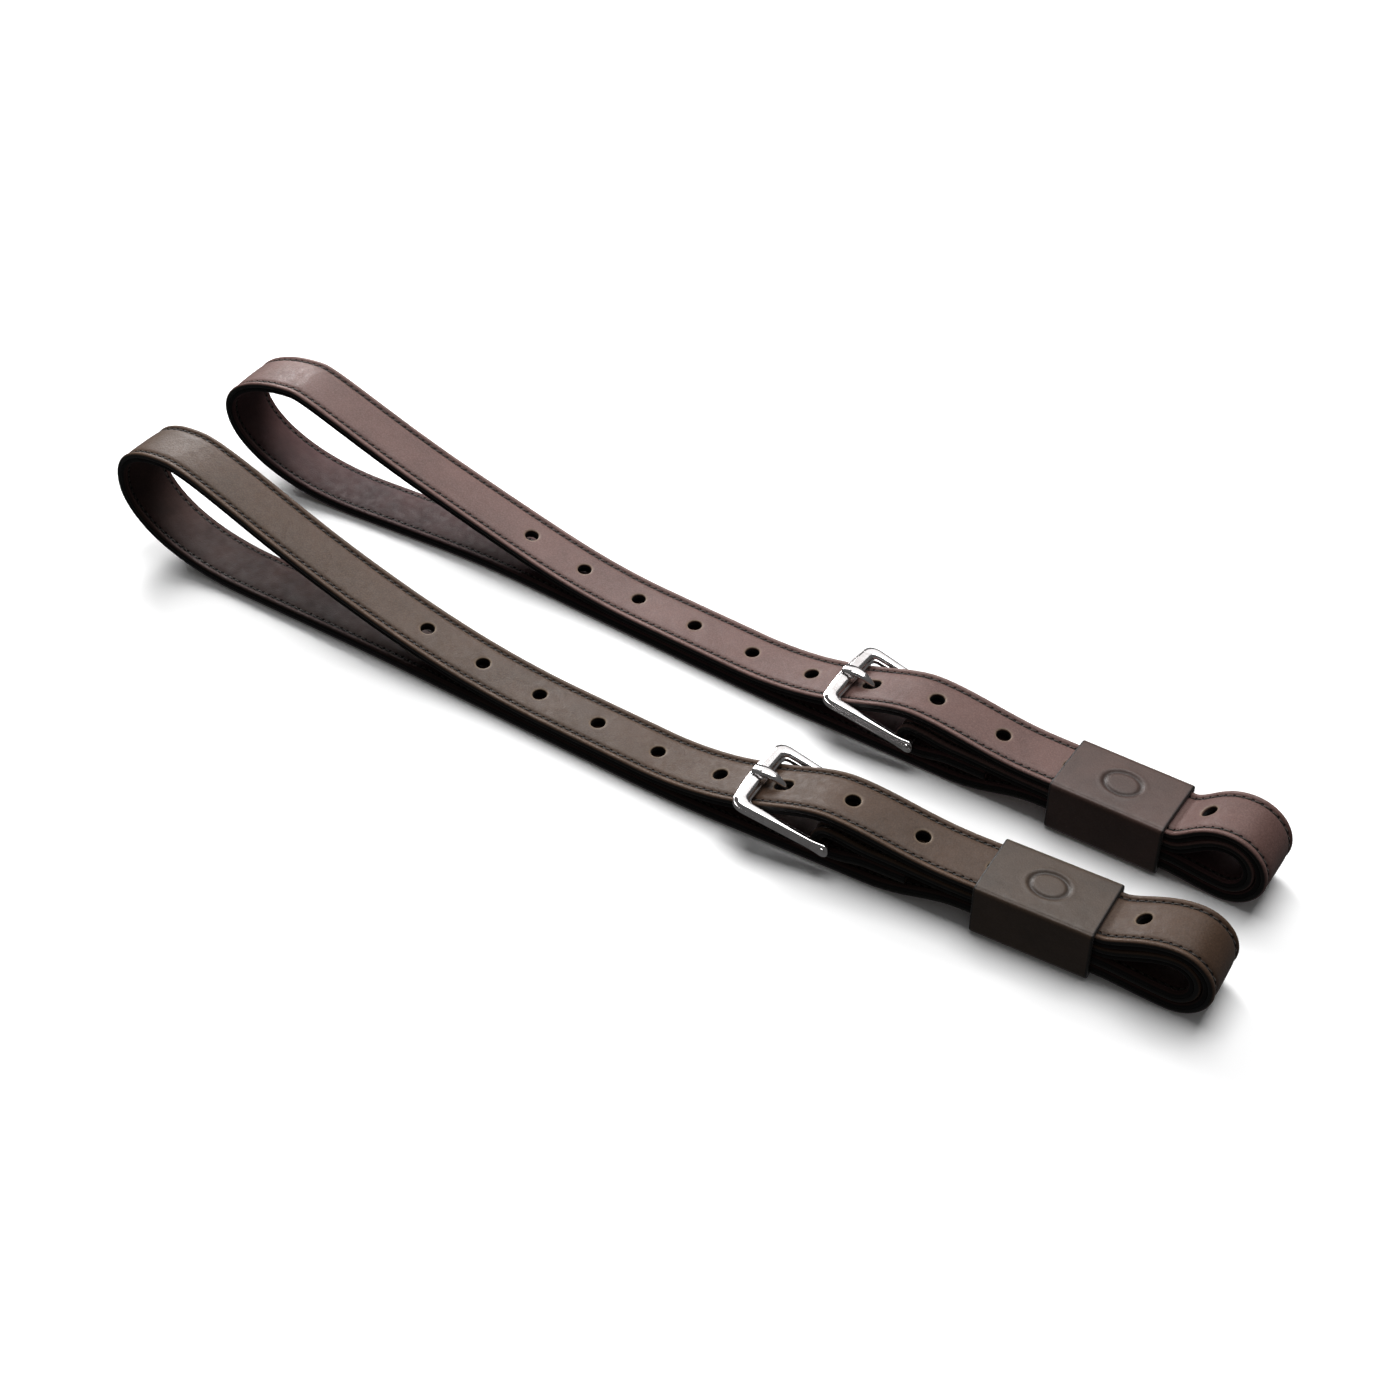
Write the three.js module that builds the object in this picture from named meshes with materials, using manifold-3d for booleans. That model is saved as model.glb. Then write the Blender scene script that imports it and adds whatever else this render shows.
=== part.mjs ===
// A pair of buckled leather straps (stirrup-leather pattern), laid side by side on a table.
// Units are millimetres, +Z is up. Each strap is drawn straight in its own XZ plane first
// (x along the strap, y across it) and is then laid on the table by `plan`, which turns it by
// a few degrees in gentle bends. The origin is on the table under strap A's first hole.
import * as THREE from 'three';
import { mergeVertices } from 'three/addons/utils/BufferGeometryUtils.js';
import Module from 'manifold-3d';

const wasm = await Module();
wasm.setup();

// ---- strap section ----
const GAP = 0.3; // clearance between pieces that touch on the real strap
const WIDTH = 22; // a seven-eighths inch strap
const THICK = 4; // face leather, web and lining together
const JOIN = 0.15; // half of the gap between face and lining
const EDGE_DROP = 0.7; // how far the rounded edge falls below the face
const EDGE_IN = 0.8; // how far the rounded edge comes in from the side
const GROOVE = { inner: 7.7, outer: 9.1, floor: 1.2 }; // stitch channel, each side of the face
const THREAD = { y: 8.4, half: 0.35, low: 1.55, high: 1.85 };
const POCKET = { half: 6.7, roof: 1.0 }; // recess in the face leather that holds the web
const WEB = { half: 6.4, low: 0.15, high: 0.7 };

// ---- holes ----
const PITCH = 25.4; // one inch between holes
const HOLES = 12;
const HOLE_R = 2.6;
const HOLE_SIDES = 8;
const TONGUE_HOLE = 6; // this hole, counted from 0, sits over the tongue
const TONGUE_HOLE_STRETCH = 1.3;

// ---- stack of four layers held by the keeper ----
const KEEPER = { from: 224, length: 40, wall: 1.6 };
const PLY = THICK + GAP;
const L4 = KEEPER.wall + GAP + THICK / 2; // centre height of the tucked-in point end
const L3 = L4 + PLY; // return of the lower run
const L2 = L3 + PLY; // body that comes from the buckle
const L1 = L2 + PLY; // top layer with the holes
const STACK = { from: 216, to: 265 }; // where the four layers lie flat
const TIP_END = 232;

// ---- buckle ----
const RUN = 0.08; // radial clearance of the steel parts that turn on the bar
const BAR = { x: 172, z: 10.85, r: 1.4, half: 16.1 }; // half: of the hole through the eyes
const FRAME = { tilt: 12.5, reach: 34, front: 5.4, thick: 3.2, inner: 12, outer: 16.9, end: 14.9 };
const BOSS_R = 2.6;
const WRAP_R = BAR.r + 0.8 + THICK / 2; // the strap goes loosely round the bar
const SLOT = { from: 163, to: 179.5, half: 3, low: 4.2, high: 17.4 };
const CHAPE = { join: 188, end: 200, upper: 13.4 };
const ARCH_TOP = 21.4; // centre height of the top layer over the buckle bar
const PAIR = 2 * THICK + GAP; // two layers lying on each other
const FLOOR_RUN = THICK / 2; // centre height of the run that lies on the table
const UPPER_RUN = PAIR - THICK / 2;

// ---- the two straps: left loop, right bight and how each one lies ----
const STRAPS = [
  { tag: 'a', lay: { x: 0, y: 0, yaw: 0, left: 1.5, right: 4.2 },
    loop: { floorEnd: -82, reach: 135.3, waist: 29.5, crestX: -109.7, crest: 48.3,
      crestPull: 21.5, runPull: 91, landing: 60 },
    bight: { x: 289.5, z: 13.4, inner: 7.05, outer: 7.05 + PLY } },
  { tag: 'b', lay: { x: -2, y: 62.6, yaw: -1.3, left: 6, right: 2.5 },
    loop: { floorEnd: -77, reach: 133.3, waist: 30, crestX: -101, crest: 49,
      crestPull: 12, runPull: 78, landing: 56 },
    bight: { x: 285, z: 14.25, inner: 7.85, outer: 7.85 + PLY } },
];
const LEFT_BEND = [-40, 8]; // where each strap turns sideways left of the holes
const RIGHT_BEND = [98, 132]; // and just before the buckle

// ---- looks ----
const LEATHER = { a: 0x4a3c38, b: 0x5c4845 };
const LINING = { a: 0x33282a, b: 0x3b2d30 };
const STEEL = 0xc9c9cc;
const THREAD_COLOUR = 0x2a2220;
const WEB_COLOUR = 0x20201f;

const rad = (deg) => (deg * Math.PI) / 180;

// ---------- solids ----------

function solidFrom(geometry) {
  const plain = geometry.index ? geometry.toNonIndexed() : geometry.clone();
  for (const name of ['normal', 'uv']) plain.deleteAttribute(name);
  const merged = mergeVertices(plain, 1e-4);
  const triVerts = Uint32Array.from(merged.index.array);
  const mesh = new wasm.Mesh({
    numProp: 3, vertProperties: Float32Array.from(merged.attributes.position.array), triVerts,
  });
  return new wasm.Manifold(mesh);
}

function box(x0, x1, y0, y1, z0, z1) {
  const g = new THREE.BoxGeometry(x1 - x0, y1 - y0, z1 - z0);
  g.translate((x0 + x1) / 2, (y0 + y1) / 2, (z0 + z1) / 2);
  return solidFrom(g);
}

function crossBar(radius, half, sides) { // a round bar along Y at the buckle's hinge
  const g = new THREE.CylinderGeometry(radius, radius, 2 * half, sides);
  g.translate(BAR.x, 0, BAR.z);
  return solidFrom(g);
}

// Turns the strap's straight frame into its place on the table.
function plan(lay) {
  const bendAt = (x, [from, to], turn) => turn * Math.min(1, Math.max(0, (x - from) / (to - from)));
  const heading = (x) => rad(lay.yaw + lay.left + bendAt(x, LEFT_BEND, -lay.left)
    + bendAt(x, RIGHT_BEND, lay.right));
  const step = 1;
  const low = -160;
  const high = 330;
  const track = [];
  let px = 0;
  let py = 0;
  for (let x = low; x <= high; x += step) {
    track.push([px, py]);
    const h = heading(x + step / 2);
    px += Math.cos(h) * step;
    py += Math.sin(h) * step;
  }
  const at = (x) => {
    const i = Math.min(track.length - 2, Math.max(0, Math.floor((x - low) / step)));
    const f = (x - low) / step - i;
    return [0, 1].map((k) => track[i][k] * (1 - f) + track[i + 1][k] * f);
  };
  const zero = at(0);
  return (x, y) => {
    const [cx, cy] = at(x);
    const h = heading(x);
    return [lay.x + cx - zero[0] - y * Math.sin(h), lay.y + cy - zero[1] + y * Math.cos(h)];
  };
}

// Cuts leave sliver triangles that turn up as bad faces once the strap is bent; each solid is
// therefore simplified within a hundredth of a millimetre after it has been laid in place.
const SLIVER = 0.01;

function meshOf(solid, name, material, place) {
  const laid = solid.warp((v) => { [v[0], v[1]] = place(v[0], v[1]); }).simplify(SLIVER);
  const out = laid.getMesh();
  const g = new THREE.BufferGeometry();
  g.setAttribute('position', new THREE.BufferAttribute(Float32Array.from(out.vertProperties), 3));
  g.setIndex(new THREE.BufferAttribute(Uint32Array.from(out.triVerts), 1));
  g.computeVertexNormals();
  const mesh = new THREE.Mesh(g, material);
  mesh.name = name;
  return mesh;
}

// ---------- the strap's centre line ----------

const bezier = (a, b, c, d, n) => new THREE.CubicBezierCurve(
  ...[a, b, c, d].map((p) => new THREE.Vector2(...p))).getPoints(n).slice(1);

function halfTurn(cx, cz, r, fromDeg, n) { // clockwise, as every turn of the strap is
  return Array.from({ length: n }, (_, i) => {
    const a = rad(fromDeg - (180 * (i + 1)) / n);
    return new THREE.Vector2(cx + r * Math.cos(a), cz + r * Math.sin(a));
  });
}

// From the chape end, round the buckle bar, along to the right bight, back to the left loop,
// up and over to the buckle, round the right bight again and into the keeper.
function centreLine({ loop, bight }) {
  const chapeLow = CHAPE.upper - PLY;
  const pts = [new THREE.Vector2(CHAPE.end, chapeLow)];
  const go = (...more) => pts.push(...more);
  const to = (x, z) => go(new THREE.Vector2(x, z));
  to(CHAPE.join, chapeLow);
  go(...bezier([CHAPE.join, chapeLow], [181, chapeLow], [179, BAR.z - WRAP_R],
    [BAR.x, BAR.z - WRAP_R], 3));
  go(...halfTurn(BAR.x, BAR.z, WRAP_R, 270, 8));
  go(...bezier([BAR.x, BAR.z + WRAP_R], [179, BAR.z + WRAP_R], [181, CHAPE.upper],
    [CHAPE.join, CHAPE.upper], 3));
  go(...bezier([CHAPE.join, CHAPE.upper], [200, CHAPE.upper], [206, L2], [STACK.from, L2], 2));
  to(STACK.to, L2);
  go(...bezier([STACK.to, L2], [STACK.to + 7.5, L2], [bight.x - 8.5, bight.z + bight.inner],
    [bight.x, bight.z + bight.inner], 4));
  go(...halfTurn(bight.x, bight.z, bight.inner, 90, 8));
  go(...bezier([bight.x, bight.z - bight.inner], [bight.x - 7, bight.z - bight.inner],
    [STACK.to + 7, L3], [STACK.to, L3], 2));
  to(STACK.from + 4, L3);
  go(...bezier([STACK.from + 4, L3], [208, L3], [200, FLOOR_RUN], [186, FLOOR_RUN], 4));
  to(RIGHT_BEND[1], FLOOR_RUN);
  to(RIGHT_BEND[0], FLOOR_RUN);
  to(LEFT_BEND[1], FLOOR_RUN);
  to(LEFT_BEND[0], FLOOR_RUN);
  to(loop.floorEnd, FLOOR_RUN);
  const left = -loop.reach;
  go(...bezier([loop.floorEnd, FLOOR_RUN], [loop.floorEnd - 34, FLOOR_RUN],
    [left, loop.waist - 14.5], [left, loop.waist], 5));
  go(...bezier([left, loop.waist], [left, loop.waist + 12], [loop.crestX - 16.5, loop.crest],
    [loop.crestX, loop.crest], 5));
  go(...bezier([loop.crestX, loop.crest], [loop.crestX + loop.crestPull, loop.crest],
    [loop.landing - loop.runPull, UPPER_RUN], [loop.landing, UPPER_RUN], 8));
  to(RIGHT_BEND[0], UPPER_RUN);
  go(...bezier([RIGHT_BEND[0], UPPER_RUN], [142, UPPER_RUN], [156, ARCH_TOP],
    [BAR.x, ARCH_TOP], 7));
  go(...bezier([BAR.x, ARCH_TOP], [187, ARCH_TOP], [198, L1], [STACK.from, L1], 5));
  to(STACK.to, L1);
  go(...bezier([STACK.to, L1], [STACK.to + 5.5, L1], [bight.x - 10.5, bight.z + bight.outer],
    [bight.x, bight.z + bight.outer], 4));
  go(...halfTurn(bight.x, bight.z, bight.outer, 90, 8));
  go(...bezier([bight.x, bight.z - bight.outer], [bight.x - 7, bight.z - bight.outer],
    [STACK.to + 7, L4], [STACK.to, L4], 2));
  to(TIP_END, L4);
  return pts;
}

// Each station carries its own mitred normal, on the left of the way the strap runs.
function stations(pts) {
  return pts.map((p, i) => {
    const before = i ? p.clone().sub(pts[i - 1]).normalize() : null;
    const after = i < pts.length - 1 ? pts[i + 1].clone().sub(p).normalize() : null;
    const t = (before ?? after).clone().add(after ?? before).normalize();
    const mitre = before && after ? 1 / Math.max(0.5, t.dot(after)) : 1;
    return { p, n: new THREE.Vector2(-t.y, t.x).multiplyScalar(mitre) };
  });
}

// Sweeps a closed section of (y, n) points along the stations and caps both ends.
function sweep(line, section) {
  const shape = section.map(([y, n]) => new THREE.Vector2(y, n));
  const cap = THREE.ShapeUtils.triangulateShape(shape, []);
  const count = shape.length;
  const verts = line.flatMap(({ p, n }) => shape.map((s) => [p.x + n.x * s.y, s.x, p.y + n.y * s.y]));
  const tris = [];
  for (let i = 0; i + 1 < line.length; i += 1) {
    for (let j = 0; j < count; j += 1) {
      const a = i * count + j;
      const b = i * count + ((j + 1) % count);
      tris.push([a, b, b + count], [a, b + count, a + count]);
    }
  }
  const last = (line.length - 1) * count;
  for (const [a, b, c] of cap) tris.push([a, c, b], [last + a, last + b, last + c]);
  const g = new THREE.BufferGeometry();
  g.setAttribute('position', new THREE.Float32BufferAttribute(verts.flat(), 3));
  g.setIndex(tris.flat());
  let solid = solidFrom(g);
  if (solid.volume() < 0) {
    g.setIndex(tris.flatMap(([a, b, c]) => [a, c, b]));
    solid = solidFrom(g);
  }
  return solid;
}

// ---------- holes and slots ----------

// The point a given way along the upper run, measured from where it crosses x = 0.
function alongUpperRun(pts, distance) {
  let left = null;
  for (let i = 1; i < pts.length; i += 1) {
    const [a, b] = [pts[i - 1], pts[i]];
    const upper = a.x < 0 && b.x >= 0 && a.y > FLOOR_RUN + 1;
    if (left === null && !upper) continue;
    const length = a.distanceTo(b);
    const start = upper ? (length * -a.x) / (b.x - a.x) : 0;
    const room = length - start;
    if (left === null) left = distance;
    if (left <= room) {
      const f = (start + left) / length;
      const t = b.clone().sub(a).normalize();
      return { p: a.clone().lerp(b, f), n: new THREE.Vector2(-t.y, t.x) };
    }
    left -= room;
  }
  throw new Error('the upper run is shorter than its row of holes');
}

function holePunch(pts, index) {
  const { p, n } = alongUpperRun(pts, index * PITCH);
  const g = new THREE.CylinderGeometry(HOLE_R, HOLE_R, PLY, HOLE_SIDES);
  g.rotateX(Math.PI / 2);
  if (index === TONGUE_HOLE) g.scale(TONGUE_HOLE_STRETCH, 1, 1);
  g.rotateY(Math.atan2(n.x, n.y));
  g.translate(p.x, 0, p.y);
  return solidFrom(g);
}

const STITCH = { x0: 190, x1: 196, y: 4.5, half: 0.4 }; // each chape stitch goes down and up here
const STITCH_TOP = CHAPE.upper + THICK / 2 + GAP;
const STITCH_LOW = CHAPE.upper - PLY - THICK / 2 - GAP;

function cutters(pts) {
  const all = Array.from({ length: HOLES }, (_, i) => holePunch(pts, i));
  all.push(box(SLOT.from, SLOT.to, -SLOT.half, SLOT.half, SLOT.low, SLOT.high));
  const r = STITCH.half + GAP;
  for (const y of [-STITCH.y, STITCH.y]) {
    for (const x of [STITCH.x0, STITCH.x1]) {
      all.push(box(x - r, x + r, y - r, y + r, STITCH_LOW, STITCH_TOP));
    }
  }
  return all.reduce((sum, one) => sum.add(one));
}

function chapeStitch(y) { // one closed turn of thread through the body and the turned-back end
  const { x0, x1, half } = STITCH;
  const thread = 2 * half;
  const outer = box(x0 - half, x1 + half, y - half, y + half, STITCH_LOW - thread / 2,
    STITCH_TOP + thread / 2);
  return outer.subtract(box(x0 + half, x1 - half, y - 1, y + 1, STITCH_LOW, STITCH_TOP));
}

// ---------- strap sections ----------

const h = THICK / 2;
const w = WIDTH / 2;

function mirrored(right) { // right half of a section, from the middle of the base outward and up
  return [...right, ...right.slice().reverse().map(([y, n]) => [-y, n])];
}
const FACE_SECTION = mirrored([
  [POCKET.half, POCKET.roof], [POCKET.half, JOIN], [w, JOIN], [w, h - EDGE_DROP],
  [w - EDGE_IN, h], [GROOVE.outer, h], [GROOVE.outer, GROOVE.floor],
  [GROOVE.inner, GROOVE.floor], [GROOVE.inner, h],
]);
const LINING_SECTION = mirrored([[w - EDGE_IN, -h], [w, EDGE_DROP - h], [w, -JOIN]]);
const WEB_SECTION = mirrored([[WEB.half, WEB.low], [WEB.half, WEB.high]]);
const threadSection = (side) => [
  [side * THREAD.y - THREAD.half, THREAD.low], [side * THREAD.y + THREAD.half, THREAD.low],
  [side * THREAD.y, THREAD.high],
];

// ---------- buckle ----------

// Turns a solid drawn flat round the hinge into the buckle's tilted plane.
function toBuckle(geometry) {
  geometry.rotateY(rad(FRAME.tilt));
  geometry.translate(BAR.x, 0, BAR.z);
  return solidFrom(geometry);
}

function frameOutline() {
  const { reach, front, inner, outer, end } = FRAME;
  const bow = 1.6; // how far the front bar bulges
  const corner = 5;
  const s = new THREE.Shape();
  s.moveTo(0, -end);
  s.lineTo(corner - reach, -outer);
  s.quadraticCurveTo(-reach, -outer, -reach, corner - outer);
  s.quadraticCurveTo(-reach - bow, 0, -reach, outer - corner);
  s.quadraticCurveTo(-reach, outer, corner - reach, outer);
  s.lineTo(0, end);
  s.lineTo(0, inner);
  s.lineTo(front - reach + 2, inner);
  s.quadraticCurveTo(front - reach, inner, front - reach, inner - 2);
  s.lineTo(front - reach, 2 - inner);
  s.quadraticCurveTo(front - reach, -inner, front - reach + 2, -inner);
  s.lineTo(0, -inner);
  s.closePath();
  return s;
}

function buckleFrame() {
  const bevel = 0.8;
  const g = new THREE.ExtrudeGeometry(frameOutline(), {
    depth: FRAME.thick - 2 * bevel, bevelEnabled: true, bevelThickness: bevel,
    bevelSize: bevel, bevelOffset: -bevel, bevelSegments: 1, curveSegments: 4,
  });
  g.translate(0, 0, bevel - FRAME.thick / 2);
  let frame = toBuckle(g);
  for (const side of [-1, 1]) {
    const boss = new THREE.CylinderGeometry(BOSS_R, BOSS_R, FRAME.end - FRAME.inner, 16);
    boss.translate(BAR.x, (side * (FRAME.end + FRAME.inner)) / 2, BAR.z);
    frame = frame.add(solidFrom(boss));
  }
  const rest = new THREE.CylinderGeometry(REST.r, REST.r, 12, 12);
  rest.rotateZ(Math.PI / 2);
  rest.translate(-FRAME.reach + 1, 0, FRAME.thick / 2 + REST.r - REST.depth);
  return frame.subtract(toBuckle(rest)).subtract(crossBar(BAR.r + RUN, BAR.half, 16));
}
const REST = { r: 2.6, depth: 0.9 }; // hollow in the front bar where the tongue lies

const TONGUE_LINE = [ // x, z, half width, half thickness from the ring to the tip
  [169.4, 11.6, 1.9, 1.2], [163, 11.6, 1.8, 1.2], [157.4, 11.4, 1.6, 1.1],
  [153.9, 12.7, 1.4, 1.0], [151.6, 15.0, 1.3, 1.0], [149.5, 17.4, 1.4, 1.05],
  [146.6, 19.3, 1.9, 1.1], [143.7, 19.9, 2.1, 1.1], [140.4, 19.6, 1.1, 0.8],
];

function tongue() {
  const sides = 8;
  const line = stations(TONGUE_LINE.map(([x, z]) => new THREE.Vector2(x, z)));
  const verts = line.flatMap(({ p, n }, i) => {
    const [, , half, thick] = TONGUE_LINE[i];
    return Array.from({ length: sides }, (_, j) => {
      const a = rad((360 * (j + 0.5)) / sides);
      const up = n.clone().normalize().multiplyScalar(thick * Math.sin(a));
      return [p.x + up.x, half * Math.cos(a), p.y + up.y];
    });
  });
  const tris = [];
  for (let i = 0; i + 1 < line.length; i += 1) {
    for (let j = 0; j < sides; j += 1) {
      const a = i * sides + j;
      const b = i * sides + ((j + 1) % sides);
      tris.push([a, b + sides, b], [a, a + sides, b + sides]);
    }
  }
  const last = (line.length - 1) * sides;
  for (let j = 1; j + 1 < sides; j += 1) tris.push([0, j, j + 1], [last, last + j + 1, last + j]);
  const g = new THREE.BufferGeometry();
  g.setAttribute('position', new THREE.Float32BufferAttribute(verts.flat(), 3));
  g.setIndex(tris.flat());
  let blade = solidFrom(g);
  if (blade.volume() < 0) {
    g.setIndex(tris.flatMap(([a, b, c]) => [a, c, b]));
    blade = solidFrom(g);
  }
  const ring = 1.5; // wall of the eye that turns on the bar
  return blade.add(crossBar(BAR.r + RUN + ring, 2.2, 16)).subtract(crossBar(BAR.r + RUN, 4, 16));
}

// ---------- keeper ----------

function roundedRect(y0, y1, z0, z1, r, path) {
  path.moveTo(y0 + r, z0);
  path.lineTo(y1 - r, z0);
  path.quadraticCurveTo(y1, z0, y1, z0 + r);
  path.lineTo(y1, z1 - r);
  path.quadraticCurveTo(y1, z1, y1 - r, z1);
  path.lineTo(y0 + r, z1);
  path.quadraticCurveTo(y0, z1, y0, z1 - r);
  path.lineTo(y0, z0 + r);
  path.quadraticCurveTo(y0, z0, y0 + r, z0);
  return path;
}

function keeper() {
  const { from, length, wall } = KEEPER;
  const side = w + GAP;
  const top = L1 + h + GAP;
  const shape = roundedRect(-side - wall, side + wall, 0, top + wall, 2.2, new THREE.Shape());
  shape.holes.push(roundedRect(-side, side, wall, top, 0.4, new THREE.Path()));
  const g = new THREE.ExtrudeGeometry(shape, { depth: length, bevelEnabled: false, curveSegments: 4 });
  g.rotateX(Math.PI / 2);
  g.rotateZ(Math.PI / 2);
  g.translate(from, 0, 0);
  const ring = new THREE.Shape();
  ring.absellipse(0, 0, MARK.long, MARK.short, 0, 2 * Math.PI);
  const inside = new THREE.Path();
  inside.absellipse(0, 0, MARK.long - MARK.line, MARK.short - MARK.line, 0, 2 * Math.PI, true);
  ring.holes.push(inside);
  const press = new THREE.ExtrudeGeometry(ring, { depth: 2, bevelEnabled: false, curveSegments: 5 });
  press.translate(from + length / 2, 0, top + wall - MARK.depth);
  return solidFrom(g).subtract(solidFrom(press));
}
const MARK = { long: 6.8, short: 5.6, line: 1.1, depth: 0.5 }; // plain pressed oval on top

// ---------- assembly ----------

function finishes(tag) {
  const make = (color, roughness, metalness) => new THREE.MeshStandardMaterial({ color, roughness, metalness });
  return {
    face: make(LEATHER[tag], 0.5, 0), lining: make(LINING[tag], 0.65, 0),
    web: make(WEB_COLOUR, 0.9, 0), thread: make(THREAD_COLOUR, 0.8, 0), steel: make(STEEL, 0.2, 1),
  };
}

function strap({ tag, lay, loop, bight }) {
  const pts = centreLine({ loop, bight });
  const line = stations(pts);
  const cut = cutters(pts);
  const m = finishes(tag);
  const pieces = [
    ['face_leather', sweep(line, FACE_SECTION).subtract(cut), m.face],
    ['lining_leather', sweep(line, LINING_SECTION).subtract(cut), m.lining],
    ['web_core', sweep(line, WEB_SECTION).subtract(cut), m.web],
    ['edge_thread_near', sweep(line, threadSection(-1)), m.thread],
    ['edge_thread_far', sweep(line, threadSection(1)), m.thread],
    ['chape_stitch_near', chapeStitch(-STITCH.y), m.thread],
    ['chape_stitch_far', chapeStitch(STITCH.y), m.thread],
    ['buckle_frame', buckleFrame(), m.steel],
    ['buckle_bar', crossBar(BAR.r, BAR.half - 1, 16), m.steel],
    ['buckle_tongue', tongue(), m.steel],
    ['keeper', keeper(), m.face],
  ];
  const place = plan(lay);
  return pieces.map(([name, solid, material]) => meshOf(solid, `${name}_${tag}`, material, place));
}

const part = new THREE.Group();
part.name = 'buckled_leather_straps';
for (const one of STRAPS) part.add(...strap(one));

export default part;
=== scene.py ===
"""Looks for the pair of buckled leather straps: layered leather with punched holes, rows of
stitches, polished buckles and pressed keepers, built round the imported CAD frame.
Lengths in the path and profile constants are millimetres in a strap's own straight frame
(x along it, y across it, z up); `Strap.world` lays them on the table in metres."""
import math

import bmesh
import bpy
import numpy as np
from mathutils import Matrix, Vector


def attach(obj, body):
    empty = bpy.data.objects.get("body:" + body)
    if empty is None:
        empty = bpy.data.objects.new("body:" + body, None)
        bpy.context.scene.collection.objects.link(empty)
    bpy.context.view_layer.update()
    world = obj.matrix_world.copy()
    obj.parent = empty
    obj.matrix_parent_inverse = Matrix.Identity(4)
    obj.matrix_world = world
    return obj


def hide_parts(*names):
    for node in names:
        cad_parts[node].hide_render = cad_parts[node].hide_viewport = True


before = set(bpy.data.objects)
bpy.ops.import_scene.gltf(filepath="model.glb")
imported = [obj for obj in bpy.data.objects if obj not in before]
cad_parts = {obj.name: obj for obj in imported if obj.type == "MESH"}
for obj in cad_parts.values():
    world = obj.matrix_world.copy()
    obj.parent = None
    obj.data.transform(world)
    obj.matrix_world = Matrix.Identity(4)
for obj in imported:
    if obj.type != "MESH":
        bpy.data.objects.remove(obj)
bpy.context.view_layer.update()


MM = 0.001

# ---- the strap: section, holes and path, as in the CAD part ----
THICK = 4.0
PLY = 4.3
PITCH = 25.4
HOLES = 12
HOLE_R = 2.6
TONGUE_HOLE = 6
KEEPER = (224.0, 264.0, 1.6)
L4 = KEEPER[2] + 0.3 + THICK / 2
L3, L2, L1 = L4 + PLY, L4 + 2 * PLY, L4 + 3 * PLY
STACK = (216.0, 265.0)
TIP_END = 232.0
BAR_X, BAR_Z, BAR_R = 172.0, 10.85, 1.4
WRAP_R = BAR_R + 0.8 + THICK / 2
CHAPE_END, CHAPE_JOIN, CHAPE_Z = 200.0, 188.0, 13.4
SLOT_END, SLOT_HALF = 179.5, 3.0
ARCH = 21.4
FLOOR_RUN, UPPER_RUN = THICK / 2, 6.3
LEFT_BEND, RIGHT_BEND = (-40.0, 8.0), (98.0, 132.0)
STRAPS = {
    "a": dict(
        lay=dict(x=0.0, y=0.0, yaw=0.0, left=1.5, right=4.2),
        loop=dict(floor_end=-82, reach=135.3, waist=29.5, crest_x=-109.7, crest=48.3,
                  crest_pull=21.5, run_pull=91, landing=60),
        bight=dict(x=289.5, z=13.4, r=7.05),
    ),
    "b": dict(
        lay=dict(x=-2.0, y=62.6, yaw=-1.3, left=6.0, right=2.5),
        loop=dict(floor_end=-77, reach=133.3, waist=30, crest_x=-101, crest=49,
                  crest_pull=12, run_pull=78, landing=56),
        bight=dict(x=285.0, z=14.25, r=7.85),
    ),
}
FINE = 0.25  # spacing of the sampled path


# ---------- path ----------

def bezier(a, b, c, d, n=60):
    t = np.linspace(0, 1, n + 1)[1:, None]
    a, b, c, d = (np.array(p, float) for p in (a, b, c, d))
    return a * (1 - t) ** 3 + 3 * b * t * (1 - t) ** 2 + 3 * c * t * t * (1 - t) + d * t**3


def half_turn(x, z, r, start, n=60):
    a = np.radians(start - 180 * np.arange(1, n + 1) / n)[:, None]
    return np.hstack([x + r * np.cos(a), z + r * np.sin(a)])


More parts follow.
